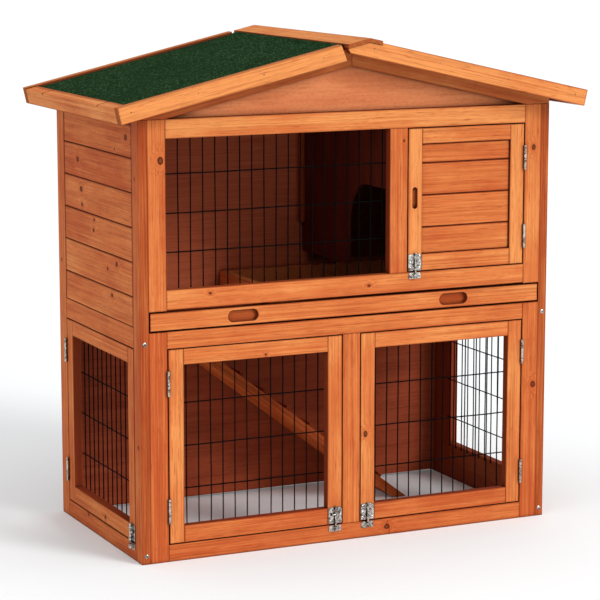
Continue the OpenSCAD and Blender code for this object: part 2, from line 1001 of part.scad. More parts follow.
// Steel rod that the ramp turns on, held by a block at each end
module ramp_pivot() {
  y0 = ramp_y - pivot_out;
  y1 = ramp_y + ramp_width + pivot_out;
  half = pivot_block[0] / 2;
  color(zinc) place() union() {
    translate([ramp_px, y1 - 2, ramp_pz])
      rotate([90, 0, 0]) cylinder(d = ramp_pin, h = y1 - y0 - 4, $fn = 32);
    for (y = [y0, y1 - pivot_block[1]])
      box([ramp_px - half, y, pivot_z], [ramp_px + half, y + pivot_block[1], floor_z - floor_thick]);
  }
}

module ramp_board() {
  ca = cos(ramp_slope);
  sa = sin(ramp_slope);
  ta = tan(ramp_slope);
  color(wood) place() difference() {
    slab_y(ramp_y, ramp_y + ramp_width, [
      [ramp_px - ramp_tail * ca - ramp_t * sa, ramp_pz + ramp_tail * sa - ramp_t * ca],
      [ramp_px + (ramp_pz - ramp_t / ca - ramp_foot) / ta, ramp_foot],
      [ramp_px + (ramp_pz + ramp_t / ca - ramp_foot) / ta, ramp_foot],
      [ramp_px - ramp_tail * ca + ramp_t * sa, ramp_pz + ramp_tail * sa + ramp_t * ca]
    ]);
    translate([ramp_px, ramp_y + ramp_width + 1, ramp_pz])
      rotate([90, 0, 0]) cylinder(d = ramp_pin + 0.2, h = ramp_width + 2, $fn = 32);
  }
}

module ramp_cleats() {
  color(wood) place() translate([ramp_px, ramp_y, ramp_pz]) rotate([0, ramp_slope, 0])
    for (i = [0:cleats - 1])
      translate([cleat_first + i * cleat_step, cleat_w, ramp_t])
        cube([cleat_w, ramp_width - 2 * cleat_w, cleat_h]);
}

// ---------------------------------------------------------------------- draw

front_legs();
back_legs();
front_stiles();
upper_front_rails();
front_mullion();
lower_front_rails();
middle_post();
floor_bearers();
left_side_planks();
right_side_planks();
side_top_rails();
side_mid_rails();
side_bottom_rails();
window_frame();
window_mesh();
upper_mesh();
back_rails();
back_panels();
upper_floor();
partition();
partition_batten();
gable_panels();
gable_trim();
ridge_beam();
roof_panel_right();
roof_felt_right();
roof_rakes_right();
roof_eave_right();
ridge_cap();
door_hinges_fixed();
roof_hinges_fixed();
latch_keepers();
frame_screws();
roof_panel_left();
roof_felt_left();
roof_rakes_left();
roof_eave_left();
roof_hinges_lid();
tray_front();
tray_floor();
tray_rims();
ramp_pivot();
ramp_board();
ramp_cleats();
nest_door_frame();
nest_door_planks();
nest_door_fittings();
nest_bolt();
lower_left_door_frame();
lower_left_door_mesh();
lower_left_door_fittings();
lower_left_bolt();
lower_right_door_frame();
lower_right_door_mesh();
lower_right_door_fittings();
lower_right_bolt();
side_door_frame();
side_door_mesh();
side_door_fittings();
side_bolt();
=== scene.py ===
"""Looks of the two-storey rabbit hutch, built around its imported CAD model. Metres."""
import json
import math
import random

import bmesh
import bpy
from mathutils import Matrix, Vector
from mathutils.bvhtree import BVHTree
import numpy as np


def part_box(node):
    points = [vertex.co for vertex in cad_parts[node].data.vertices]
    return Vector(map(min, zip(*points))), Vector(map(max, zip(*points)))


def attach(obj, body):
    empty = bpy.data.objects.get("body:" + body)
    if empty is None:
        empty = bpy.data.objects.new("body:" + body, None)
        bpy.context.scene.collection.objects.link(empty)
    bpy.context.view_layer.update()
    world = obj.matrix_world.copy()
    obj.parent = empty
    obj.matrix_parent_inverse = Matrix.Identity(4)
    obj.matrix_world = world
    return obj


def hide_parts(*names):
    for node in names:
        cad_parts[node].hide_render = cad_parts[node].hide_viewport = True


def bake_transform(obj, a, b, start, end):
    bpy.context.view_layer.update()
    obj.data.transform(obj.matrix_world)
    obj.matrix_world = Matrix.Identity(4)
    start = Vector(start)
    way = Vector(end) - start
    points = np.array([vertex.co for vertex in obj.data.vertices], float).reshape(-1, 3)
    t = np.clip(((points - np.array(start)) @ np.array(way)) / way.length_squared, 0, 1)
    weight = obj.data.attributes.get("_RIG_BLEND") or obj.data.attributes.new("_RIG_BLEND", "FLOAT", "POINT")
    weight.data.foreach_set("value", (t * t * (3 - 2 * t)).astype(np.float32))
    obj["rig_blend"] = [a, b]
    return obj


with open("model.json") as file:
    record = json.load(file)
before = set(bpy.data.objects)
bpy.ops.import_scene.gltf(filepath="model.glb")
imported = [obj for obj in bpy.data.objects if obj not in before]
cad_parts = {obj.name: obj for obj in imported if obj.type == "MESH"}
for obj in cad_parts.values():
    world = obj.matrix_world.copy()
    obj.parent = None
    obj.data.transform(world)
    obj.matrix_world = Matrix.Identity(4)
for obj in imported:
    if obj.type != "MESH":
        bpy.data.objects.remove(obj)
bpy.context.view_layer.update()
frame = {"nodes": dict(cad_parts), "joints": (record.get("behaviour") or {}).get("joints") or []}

rng = random.Random(7)
scene = bpy.context.scene
MM = 0.001
PITCH = math.radians(12.8)            # slope of the roof
RAMP_SLOPE = math.radians(37.5)
X, Y, Z = Vector((1, 0, 0)), Vector((0, 1, 0)), Vector((0, 0, 1))
UP_LEFT = Vector((math.cos(PITCH), 0, math.sin(PITCH)))     # along the left roof slope
UP_RIGHT = Vector((-math.cos(PITCH), 0, math.sin(PITCH)))   # along the right roof slope
DOWN_RAMP = Vector((math.cos(RAMP_SLOPE), 0, -math.sin(RAMP_SLOPE)))


# ------------------------------------------------------------------ camera
def aim_camera():
    cam_data = bpy.data.cameras.new("camera")
    cam = bpy.data.objects.new("camera", cam_data)
    scene.collection.objects.link(cam)
    front_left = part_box("front_legs")[0]
    target = Vector((front_left.x + 0.3265, front_left.y, 0.4816))
    azimuth, elevation, distance = math.radians(-25.2), math.radians(9.61), 4.468
    back = Vector((math.sin(azimuth) * math.cos(elevation),
                   -math.cos(azimuth) * math.cos(elevation), math.sin(elevation)))
    cam.location = target + back * distance
    cam.rotation_mode = "QUATERNION"
    cam.rotation_quaternion = (-back).to_track_quat("-Z", "Y")
    cam_data.sensor_width = 36
    cam_data.lens = 141.1
    cam_data.clip_end = 200
    scene.camera = cam


aim_camera()
scene.view_settings.view_transform = "Standard"


# ------------------------------------------------------------------ node helpers
def srgb(r, g, b):
    def f(c):
        c /= 255
        return c / 12.92 if c <= 0.04045 else ((c + 0.055) / 1.055) ** 2.4
    return (f(r), f(g), f(b), 1.0)


class Graph:
    """A material and short ways to add nodes to it. Values may be sockets or numbers."""

    def __init__(self, name):
        self.mat = bpy.data.materials.new(name)
        self.mat.use_nodes = True
        self.tree = self.mat.node_tree
        self.shader = self.tree.nodes["Principled BSDF"]

    def node(self, kind, **props):
        n = self.tree.nodes.new("ShaderNode" + kind)
        for k, v in props.items():
            setattr(n, k, v)
        return n

    def put(self, socket, value):
        if isinstance(value, bpy.types.NodeSocket):
            self.tree.links.new(value, socket)
        else:
            socket.default_value = value

    def attr(self, name, out="Vector"):
        return self.node("Attribute", attribute_name=name).outputs[out]

    def place(self):
        return self.node("TexCoord").outputs["Object"]

    def m(self, op, a, b=0.0, c=0.0):
        n = self.node("Math", operation=op)
        for s, v in zip(n.inputs, (a, b, c)):
            self.put(s, v)
        return n.outputs[0]

    def add(self, a, b):
        return self.m("ADD", a, b)

    def sub(self, a, b):
        return self.m("SUBTRACT", a, b)

    def mul(self, a, b):
        return self.m("MULTIPLY", a, b)

    def vec(self, op, a, b):
        n = self.node("VectorMath", operation=op)
        self.put(n.inputs[0], a)
        self.put(n.inputs[1], b)
        return n.outputs["Value" if op in ("DOT_PRODUCT", "LENGTH") else "Vector"]

    def split(self, v):
        n = self.node("SeparateXYZ")
        self.put(n.inputs[0], v)
        return n.outputs[0], n.outputs[1], n.outputs[2]

    def join(self, x, y, z):
        n = self.node("CombineXYZ")
        for s, v in zip(n.inputs, (x, y, z)):
            self.put(s, v)
        return n.outputs[0]

    def noise(self, v, scale=1.0, detail=2.0, rough=0.5, distort=0.0):
        n = self.node("TexNoise")
        self.put(n.inputs["Vector"], v)
        self.put(n.inputs["Scale"], scale)
        self.put(n.inputs["Detail"], detail)
        self.put(n.inputs["Roughness"], rough)
        self.put(n.inputs["Distortion"], distort)
        return n.outputs[0]

    def grain(self, p, across, along, detail=3, rough=0.55):
        """Noise drawn out along the board: p is split, the scales are per metre."""
        x, y, z = p
        return self.noise(self.join(self.mul(x, across), self.mul(y, across),
                                    self.mul(z, along)), 1, detail, rough)

    def ramp(self, f, stops):
        n = self.node("ValToRGB")
        while len(n.color_ramp.elements) < len(stops):
            n.color_ramp.elements.new(1.0)
        for e, (at, c) in zip(n.color_ramp.elements, stops):
            e.position = at
            e.color = (c, c, c, 1)
        self.put(n.inputs[0], f)
        return n.outputs[0]

    def span(self, v, lo, hi, to_lo=0.0, to_hi=1.0):
        n = self.node("MapRange", interpolation_type="SMOOTHSTEP")
        for s, x in zip(n.inputs, (v, lo, hi, to_lo, to_hi)):
            self.put(s, x)
        return n.outputs[0]

    def mix(self, f, a, b):
        n = self.node("Mix", data_type="RGBA")
        self.put(n.inputs[0], f)
        self.put(n.inputs[6], a)
        self.put(n.inputs[7], b)
        return n.outputs[2]

    def nook(self, distance, open_at, shut_at):
        """1 in seams and corners closer than distance to other wood or metal, 0 in the open."""
        n = self.node("AmbientOcclusion", samples=4)
        n.inputs["Distance"].default_value = distance
        return self.span(n.outputs["AO"], open_at, shut_at)

    def bump(self, height, distance, strength=1.0):
        n = self.node("Bump")
        self.put(n.inputs["Height"], height)
        n.inputs["Distance"].default_value = distance
        n.inputs["Strength"].default_value = strength
        return n.outputs[0]

    def finish(self, colour=None, rough=None, normal=None, **constants):
        s = self.shader.inputs
        if colour is not None:
            self.put(s["Base Color"], colour)
        if rough is not None:
            self.put(s["Roughness"], rough)
        if normal is not None:
            self.put(s["Normal"], normal)
        for k, v in constants.items():
            s[k.replace("_", " ")].default_value = v
        return self.mat


# ------------------------------------------------------------------ materials
# painted shade: the dark colour laid where shade falls, in seams, corners and the closed nest room
PAINTED_SHADE = srgb(58, 16, 6)
# painted shade on the floors of the finger grooves
GROOVE_SHADE = srgb(142, 50, 18)
INSIDE_SHADE = srgb(122, 48, 27)            # painted shade on faces that look into the hutch
LIP_SHADE = srgb(98, 32, 14)
KNOT_HEART = srgb(98, 46, 24)
KNOT_RIM = srgb(46, 17, 9)


def knots_of(g, local, p):
    """The two knots of a board: how far they push the rings, their disc, rim and halo."""
    lx, _, lz = g.split(local)
    bulge, disc, rim, halo = 0.0, 0.0, 0.0, 0.0
    wobble = g.mul(g.sub(g.noise(g.join(*p), 240, 3), 0.5), 0.9)
    for i in (1, 2):
        kx, kz, kr = g.split(g.attr(f"knot{i}"))
        dx = g.m("DIVIDE", g.sub(lx, kx), kr)
        dz = g.m("DIVIDE", g.sub(lz, kz), g.mul(kr, 1.3))
        d = g.m("SQRT", g.add(g.mul(dx, dx), g.mul(dz, dz)))
        far = g.m("POWER", 2.718, g.mul(g.mul(d, d), -0.14))
        bulge = g.add(bulge, g.mul(far, g.mul(kr, 1.5)))
        edge = g.add(d, wobble)
        disc = g.m("MAXIMUM", disc, g.span(edge, 1.1, 0.7))
        rim = g.m("MAXIMUM", rim, g.mul(g.span(edge, 1.35, 1.0), g.span(edge, 0.5, 0.9)))
        halo = g.m("MAXIMUM", halo, g.span(d, 3.8, 0.9))
    return bulge, disc, rim, halo


def board_edges(g, local):
    """1 along the worn and dirty arrises of a board, and 1 in the painted shade under a lip and at the
    board's ends.
    """
    ax, _, az = g.split(g.vec("ABSOLUTE", local, (0, 0, 0)))
    hx, lip, hz = g.split(g.attr("half"))
    arris = g.m("MAXIMUM", g.span(ax, g.sub(hx, 0.0026), g.sub(hx, 0.0006)),
                g.span(az, g.sub(hz, 0.0026), g.sub(hz, 0.0006)))
    top = g.sub(hx, g.split(local)[0])
    shade = g.m("MAXIMUM", g.span(top, lip, g.mul(lip, 0.45)),
                g.span(g.sub(hz, az), g.mul(lip, 0.8), g.mul(lip, 0.25)))
    return arris, g.mul(shade, g.m("GREATER_THAN", lip, 0.0005))


def wood(name, light, mid, deep, late, inside=0.9, ring_mix=0.22, knots=True, rough=0.55,
         gloss=0.03):
    """Stained softwood. local is the board's own place with z along the grain, seed moves it
    in the log, and the tone runs from pale to dark boards: partly each board's own colour,
    partly painted light and shade set board by board."""
    g = Graph(name)
    local, tone = g.attr("local"), g.attr("tone", "Fac")
    p = g.split(g.vec("ADD", local, g.attr("seed")))
    px, py, pz = p
    bulge, disc, rim, halo = knots_of(g, local, p) if knots else (0.0, 0.0, 0.0, 0.0)
    slow = g.sub(g.grain(p, 9, 1.2, 2), 0.5)
    quick = g.sub(g.grain(p, 60, 7, 2), 0.5)
    r = g.m("SQRT", g.add(g.mul(px, px), g.mul(py, py)))
    r = g.add(g.add(r, bulge), g.add(g.mul(slow, 0.024), g.mul(quick, 0.0018)))
    phase = g.m("DIVIDE", r, 0.0036)
    profile = g.ramp(g.m("FRACT", phase), [(0.0, 0.0), (0.45, 0.15), (0.76, 0.7), (0.88, 1.0),
                                           (0.95, 0.9), (1.0, 0.0)])
    year = g.node("TexWhiteNoise", noise_dimensions="1D")
    g.put(year.inputs["W"], g.m("FLOOR", phase))
    rings = g.mul(profile, g.add(0.1, g.mul(year.outputs[0], 0.9)))
    bent = (px, g.add(py, g.mul(bulge, 2.0)), pz)
    streak = g.grain(bent, 150, 1.8)
    thin = g.grain(bent, 420, 5, 2)
    dash = g.grain(bent, 620, 30, 2)
    fibre = g.grain(bent, 1500, 30, 2)
    cloud = g.grain(p, 16, 6.5, 4, 0.6)
    blot = g.grain(p, 60, 34, 3)
    spread = g.add(g.add(g.mul(cloud, 0.62), g.mul(streak, 0.38)), g.mul(g.sub(tone, 0.5), 0.46))
    base = g.mix(g.span(spread, 0.36, 0.58), light, mid)
    base = g.mix(g.span(spread, 0.54, 0.78), base, deep)
    base = g.mix(g.mul(rings, ring_mix), base, late)
    base = g.mix(g.mul(g.span(streak, 0.54, 0.70), 0.24), base, deep)
    base = g.mix(g.mul(g.span(thin, 0.53, 0.66), 0.30), base, late)
    base = g.mix(g.mul(g.span(thin, 0.46, 0.34), 0.30), base, light)
    base = g.mix(g.mul(g.span(dash, 0.61, 0.70), 0.50), base, late)
    base = g.mix(g.mul(g.span(blot, 0.58, 0.74), 0.22), base, deep)
    base = g.mix(g.mul(g.span(fibre, 0.50, 0.72), 0.30), base, late)
    normal = g.node("TexCoord").outputs["Normal"]
    end = g.span(g.m("ABSOLUTE", g.vec("DOT_PRODUCT", normal, g.attr("along"))), 0.75, 0.95)
    base = g.mix(g.mul(end, 0.45), base, late)
    if knots:
        base = g.mix(g.mul(halo, 0.5), base, deep)
        base = g.mix(g.mul(disc, 0.85), base, KNOT_HEART)
        base = g.mix(g.mul(rim, 0.85), base, KNOT_RIM)
    arris, under_lip = board_edges(g, local)
    base = g.mix(g.mul(arris, g.span(thin, 0.30, 0.62, 0.25, 0.62)), base, late)
    # painted shade on the floor of a finger groove
    base = g.mix(g.mul(g.attr("recess", "Fac"), 0.72), base, GROOVE_SHADE)
    # painted shade on faces that look into the hutch
    if inside:
        base = g.mix(g.mul(g.attr("inside", "Fac"), inside), base, INSIDE_SHADE)
    base = g.mix(g.mul(under_lip, 0.85), base, LIP_SHADE)
    # painted shade in seams and corners close to other wood or metal
    base = g.mix(g.mul(g.nook(0.009, 0.86, 0.36), 0.9), base, PAINTED_SHADE)
    height = g.sub(g.add(g.add(g.mul(rings, 0.35), g.mul(fibre, 0.45)), g.mul(thin, 0.3)),
                   g.mul(rim, 1.2))
    rough_out = g.add(g.mul(fibre, 0.16), g.add(rough - 0.08, g.mul(end, 0.25)))
    return g.finish(base, rough_out, g.bump(height, 0.0004, 0.6), Specular_IOR_Level=gloss)


def plywood(name, light, deep, late, gloss=0.08, pale=None, outer=None):
    """Fine rotary-cut veneer: faint wavy figure, short pores and a mottled stain. With pale
    and outer it is the hutch's own lining, painted paler upstairs as painted light, painted
    dark in the nest room as painted shade, and weathered where it faces the back."""
    g = Graph(name)
    p = g.split(g.vec("ADD", g.attr("local"), g.attr("seed")))
    figure = g.grain(p, 26, 5, 4, 0.6)
    mottle = g.grain(p, 210, 120, 3, 0.6)
    pores = g.grain(p, 700, 110, 2, 0.6)
    lines = g.grain(p, 260, 9, 3, 0.6)
    base = g.mix(g.span(figure, 0.34, 0.68), light, deep)
    base = g.mix(g.mul(g.span(lines, 0.48, 0.72), 0.34), base, late)
    base = g.mix(g.mul(g.span(mottle, 0.50, 0.70), 0.30), base, late)
    base = g.mix(g.mul(g.span(mottle, 0.48, 0.32), 0.30), base, light)
    base = g.mix(g.mul(g.span(pores, 0.56, 0.74), 0.36), base, late)
    if pale:
        # painted light: low-valued boards, such as the upper back panel, are made paler
        base = g.mix(g.span(g.attr("tone", "Fac"), 0.5, 0.0), base, g.mix(lines, pale, light))
        # painted shade over the lining in the closed nest room
        x, _, z = g.split(g.place())
        low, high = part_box("partition")
        nest = g.mul(g.span(x, low.x, high.x + 0.01), g.span(z, low.z - 0.03, low.z - 0.02))
        base = g.mix(g.mul(nest, 0.75), base, PAINTED_SHADE)
        weather = g.mix(g.span(figure, 0.30, 0.80), outer, light)
        weather = g.mix(g.mul(g.span(lines, 0.46, 0.74), 0.45), weather, late)
        faces_back = g.split(g.node("TexCoord").outputs["Normal"])[1]
        base = g.mix(g.span(faces_back, 0.4, 0.6), base, weather)
    # painted shade in seams and corners
    base = g.mix(g.mul(g.nook(0.012, 0.86, 0.36), 0.85), base, PAINTED_SHADE)
    return g.finish(base, g.add(0.55, g.mul(pores, 0.2)), g.bump(g.add(lines, pores), 0.0002, 0.5),
                    Specular_IOR_Level=gloss)


def roofing_felt():
    """Dark green mineral felt: pressed grains over bitumen."""
    g = Graph("roof_felt")
    p = g.place()
    grains = g.node("TexVoronoi", feature="F1")
    g.put(grains.inputs["Vector"], p)
    grains.inputs["Scale"].default_value = 480
    pick = g.split(grains.outputs["Color"])[0]
    dust = g.noise(p, 260, 3, 0.7)
    patch = g.noise(p, 9, 3, 0.6)
    base = g.mix(g.span(pick, 0.15, 0.95), (0.0025, 0.0100, 0.0030, 1), (0.014, 0.046, 0.014, 1))
    base = g.mix(g.mul(g.span(dust, 0.52, 0.70), 0.75), base, (0.040, 0.105, 0.036, 1))
    base = g.mix(g.mul(g.span(pick, 0.90, 0.94), 0.65), base, (0.085, 0.17, 0.07, 1))
    base = g.mix(g.mul(g.span(patch, 0.45, 0.75), 0.4), base, (0.004, 0.016, 0.005, 1))
    # painted shade in the felt's creases and against the wood
    base = g.mix(g.mul(g.nook(0.012, 0.86, 0.40), 0.85), base, (0.001, 0.002, 0.001, 1))
    height = g.add(g.mul(grains.outputs["Distance"], -1.0), g.mul(dust, 0.8))
    return g.finish(base, g.add(0.9, g.mul(dust, 0.1)), g.bump(height, 0.0012, 0.9),
                    Specular_IOR_Level=0.02)


def coated_wire():
    """Black plastic-dipped wire with a slightly lumpy skin and dusty patches."""
    g = Graph("black_wire")
    p = g.place()
    dust = g.noise(p, 35, 4, 0.7)
    base = g.mix(g.span(dust, 0.5, 0.8), (0.0010, 0.0010, 0.0012, 1), (0.004, 0.0035, 0.003, 1))
    return g.finish(base, g.add(0.55, g.mul(dust, 0.25)), g.bump(g.noise(p, 420, 2), 0.0003, 0.4),
                    Specular_IOR_Level=0.04)


def plated(name, base, low, high, stain):
    """Zinc plating: cloudy, brushed, with stains, and darker in its hollows."""
    g = Graph(name)
    p = g.place()
    x, y, z = g.split(p)
    brushed = g.noise(g.join(g.mul(x, 2600), g.mul(y, 2600), g.mul(z, 260)), 1, 2)
    cloud = g.noise(p, 210, 4, 0.7)
    dull = tuple(0.16 * c for c in base[:3]) + (1,)
    tint = g.mix(g.span(cloud, 0.46, 0.60), base, dull)
    spots = g.span(g.noise(p, 120, 4, 0.7), 0.46, 0.64)
    tint = g.mix(g.mul(spots, stain), tint, (0.10, 0.065, 0.04, 1))
    tint = g.mix(g.mul(g.nook(0.005, 0.88, 0.34), 0.94), tint, (0.012, 0.008, 0.006, 1))
    rough = g.add(low, g.mul(g.span(cloud, 0.3, 0.8), high))
    return g.finish(tint, rough, g.bump(g.add(brushed, cloud), 0.00012, 0.5), Metallic=1.0)


def pale_floor():
    g = Graph("pale_floor")
    p = g.place()
    base = g.mix(g.noise(p, 3, 3), (0.818, 0.842, 0.853, 1), (0.832, 0.855, 0.866, 1))
    g.shader.inputs["Emission Color"].default_value = (1, 1, 1, 1)
    return g.finish(base, g.add(0.85, g.mul(g.noise(p, 40, 2), 0.1)), Specular_IOR_Level=0.05,
                    Emission_Strength=0.04)


HONEY_TONES = (srgb(220, 141, 80), srgb(202, 112, 60), srgb(182, 86, 44), srgb(124, 46, 20))
HONEY = wood("honey_wood", *HONEY_TONES)
# a paler copy of the honey wood for the tray rims: painted light, as if light through the window fell on
# them
LIT_RIM_WOOD = wood("rim_wood_painted_light", srgb(255, 170, 102), srgb(250, 148, 82), srgb(230, 120, 62),
                srgb(180, 80, 38), inside=0.0)
RAMP_WOOD = wood("ramp_wood", srgb(224, 116, 56), srgb(200, 90, 40), srgb(156, 62, 28),
                 srgb(102, 36, 16), inside=0.3)
INNER = wood("inner_wood", srgb(150, 66, 38), srgb(132, 54, 31), srgb(106, 41, 24),
             srgb(72, 25, 14), inside=0.0, rough=0.7, gloss=0.05)
PLY = plywood("gable_ply", srgb(208, 128, 82), srgb(194, 110, 68), srgb(160, 80, 46))
BACK = plywood("back_board", srgb(150, 66, 39), srgb(126, 51, 30), srgb(82, 29, 16), gloss=0.04,
               pale=srgb(222, 118, 80), outer=srgb(178, 92, 54))
# a darker copy of the lining for the partition: painted shade, as it faces away from the light
SHADED_PARTITION = plywood("partition_board_shaded", srgb(104, 42, 28), srgb(88, 33, 22), srgb(58, 20, 13),
              gloss=0.03)
FELT = roofing_felt()
WIRE = coated_wire()
ZINC = plated("zinc_steel", (0.66, 0.63, 0.59, 1), 0.18, 0.24, 0.40)
HINGE = plated("hinge_steel", (0.62, 0.54, 0.46, 1), 0.22, 0.26, 0.6)
NAIL = plated("nail_steel", (0.20, 0.14, 0.10, 1), 0.38, 0.3, 0.5)


# ------------------------------------------------------------------ mesh helpers
def islands(bm):
    """The separate solids of a bmesh, as lists of vertices, in a steady order."""
    todo, found = set(bm.verts), []
    for v in bm.verts:
        if v not in todo:
            continue
        stack, part = [v], []
        todo.discard(v)
        while stack:
            a = stack.pop()
            part.append(a)
            for e in a.link_edges:
                b = e.other_vert(a)
                if b in todo:
                    todo.discard(b)
                    stack.append(b)
        found.append(part)

    def key(part):
        c = sum((v.co for v in part), Vector()) / len(part)
        return (round(c.z, 4), round(c.x, 4), round(c.y, 4))
    return sorted(found, key=key)


def solid_mesh(node):
    """A CAD node's mesh with its vertices joined and its flat faces whole."""
    bm = bmesh.new()
    bm.from_mesh(frame["nodes"][node].data)
    bmesh.ops.remove_doubles(bm, verts=bm.verts, dist=2e-6)
    bmesh.ops.dissolve_limit(bm, angle_limit=math.radians(0.5), verts=bm.verts, edges=bm.edges,
                             use_dissolve_boundaries=False)
    return bm


def carve(bm, kerfs):
    """Cuts thin boxes out of the solids: a kerf is (middle, along, across, deep), the last
    three being half its length, width and depth as vectors."""
    cutter = bmesh.new()
    for middle, along, across, deep in kerfs:
        ends = [middle + along * i + across * j + deep * k
                for i in (-1, 1) for j in (-1, 1) for k in (-1, 1)]
        bmesh.ops.convex_hull(cutter, input=[cutter.verts.new(e) for e in ends])
    pieces = []
    for part in (bm, cutter):
        mesh = bpy.data.meshes.new("carve")
        part.to_mesh(mesh)
        part.free()
        pieces.append(bpy.data.objects.new("carve", mesh))
        scene.collection.objects.link(pieces[-1])
    cut = pieces[0].modifiers.new("cut", "BOOLEAN")
    cut.operation, cut.object, cut.solver = "DIFFERENCE", pieces[1], "EXACT"
    graph = bpy.context.evaluated_depsgraph_get()
    result = bmesh.new()
    result.from_mesh(pieces[0].evaluated_get(graph).to_mesh())
    for obj in pieces:
        mesh = obj.data
        bpy.data.objects.remove(obj)
        bpy.data.meshes.remove(mesh)
    return result


def ease_edges(bm, width, angle=28, segments=2):
    sharp = [e for e in bm.edges if len(e.link_faces) == 2
             and e.calc_face_angle(0) > math.radians(angle)]
    bmesh.ops.bevel(bm, geom=sharp, offset=width, segments=segments, profile=0.6,
                    affect="EDGES", clamp_overlap=True)


def add_object(name, bm, material, smooth=35):
    mesh = bpy.data.meshes.new(name)
    bm.to_mesh(mesh)
    bm.free()
    for p in mesh.polygons:
        p.use_smooth = True
    mesh.set_sharp_from_angle(angle=math.radians(smooth))
    mesh.materials.append(material)
    obj = bpy.data.objects.new(name, mesh)
    scene.collection.objects.link(obj)
    weighted = obj.modifiers.new("weighted", "WEIGHTED_NORMAL")
    weighted.keep_sharp = True
    return obj


def merge(target, part):
    """Adds the bmesh part to the bmesh target."""
    mesh = bpy.data.meshes.new("part")
    part.to_mesh(mesh)
    part.free()
    target.from_mesh(mesh)
    bpy.data.meshes.remove(mesh)


def settle(name, bm, material, body, slot, *nodes):
    """Makes the object of a bmesh, puts it on its body and in place of its CAD nodes."""
    obj = add_object(name, bm, material)
    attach(obj, body)
    if nodes:
        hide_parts(*nodes)
    return obj


# ------------------------------------------------------------------ boards from CAD solids
def wooden_tree():
    """All the CAD wood as one tree to cast rays at."""
    verts, faces = [], []
    for name, obj in frame["nodes"].items():
        if not any(w in name for w in ("mesh", "hinge", "fitting", "bolt", "keeper", "screw")):
            start = len(verts)
            verts += [v.co.copy() for v in obj.data.vertices]
            faces += [[start + i for i in f.vertices] for f in obj.data.polygons]
    return BVHTree.FromPolygons(verts, faces)


WOOD_TREE = wooden_tree()


def looks_inside(face):
    """The share of a face that sees other wood more than a seam away, straight out of it."""
    middle, hits = face.calc_center_median(), 0
    spots = [middle] + [middle.lerp(v.co, 0.8) for v in face.verts[:6]]
    for spot in spots:
        hit = WOOD_TREE.ray_cast(spot + face.normal * 0.0003, face.normal, 0.9)
        hits += hit[0] is not None and hit[3] > 0.006
    return hits / len(spots)


def boards(node, body, along, material, slot, edge=0.0009, knots=(), chance=0.12, recess=None,
           tone=0.5, lip=0.0, kerfs=()):
    """Turns each solid of a CAD node into a board with its own grain. along is the grain's
    direction, or one per solid, knots are (solid, share along, share across, radius), and
    lip is how far the next board shades its upper edge."""
    bm = solid_mesh(node)
    ease_edges(bm, edge)
    if kerfs:
        bm = carve(bm, kerfs)
    bm.normal_update()
    # how much of each face looks into the hutch, and so how much painted shade it takes
    facing = bm.faces.layers.float.new("inside")
    for f in bm.faces:
        f[facing] = looks_inside(f)
    for n in ("local", "seed", "along", "half", "knot1", "knot2"):
        bm.verts.layers.float_vector.new(n)
    for n in ("tone", "recess"):
        bm.verts.layers.float.new(n)
    layers, floats = bm.verts.layers.float_vector, bm.verts.layers.float
    for i, part in enumerate(islands(bm)):
        w = along[i % len(along)] if isinstance(along, (list, tuple)) else along
        sides = [a for a in (X, Y, Z) if abs(a.dot(w)) < 0.9]
        if len(sides) == 3:                     # a board on a slope
            sides = [Y, w.cross(Y)]
        u, v = sides[0] - w * sides[0].dot(w), sides[1] - w * sides[1].dot(w)
        u.normalize(), v.normalize()
        co = [p.co for p in part]

        def extent(axis):
            d = [c.dot(axis) for c in co]
            return min(d), max(d)
        if extent(u)[1] - extent(u)[0] < extent(v)[1] - extent(v)[0]:
            u, v = v, u
        (u0, u1), (v0, v1), (w0, w1) = extent(u), extent(v), extent(w)
        mid = ((u0 + u1) / 2, (v0 + v1) / 2, (w0 + w1) / 2)
        seed = Vector((rng.uniform(-0.03, 0.03), rng.choice((-1, 1)) * rng.uniform(0.022, 0.075),
                       rng.uniform(-40, 40)))
        if isinstance(tone, (list, tuple)):
            shade = tone[i % len(tone)]
        else:
            shade = min(1.0, max(0.0, tone + rng.uniform(-0.24, 0.24)))
        places = [((k[2] - 0.5) * (u1 - u0), (k[1] - 0.5) * (w1 - w0), k[3])
                  for k in knots if k[0] == i]
        for _ in range(2 - len(places)):
            if rng.random() < chance:
                places.append((rng.uniform(-0.42, 0.42) * (u1 - u0),
                               rng.uniform(-0.45, 0.45) * (w1 - w0),
                               rng.uniform(0.0016, 0.0042)))
            else:
                places.append((9.0, 9.0, 0.001))
        for q in part:
            q[layers["local"]] = (q.co.dot(u) - mid[0], q.co.dot(v) - mid[1],
                                  q.co.dot(w) - mid[2])
            q[layers["seed"]] = seed
            q[layers["along"]] = w
            q[layers["half"]] = ((u1 - u0) / 2, lip, (w1 - w0) / 2)
            q[layers["knot1"]], q[layers["knot2"]] = places[0], places[1]
            q[floats["tone"]] = shade
            q[floats["recess"]] = recess(q.co) if recess else 0.0
    return settle(node + "_boards", bm, material, body, slot, node)


def honey(node, body, along, **more):
    return boards(node, body, along, HONEY, "honey_wood", **more)


SIDE_KNOTS = (      # (plank from the bottom, share along, share across, radius)
    (0, 0.30, 0.72, 0.0036), (1, 0.36, 0.50, 0.0030), (1, 0.23, 0.72, 0.0040),
    (2, 0.55, 0.80, 0.0030), (2, 0.56, 0.50, 0.0034), (3, 0.74, 0.62, 0.0048),
    (3, 0.73, 0.18, 0.0034), (4, 0.79, 0.50, 0.0046), (5, 0.08, 0.55, 0.0050))


def eave_kerfs():
    """The two saw cuts over the left eave board, carried a little way down its face."""
    low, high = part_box("roof_eave_left")
    middle = Vector(((low.x + high.x) / 2 - 4 * MM, 0, high.z))
    return [(middle + Y * (low.y + at), X * 17 * MM, Y * 2.3 * MM, Z * 9 * MM)
            for at in (0.0898, 0.3928)]


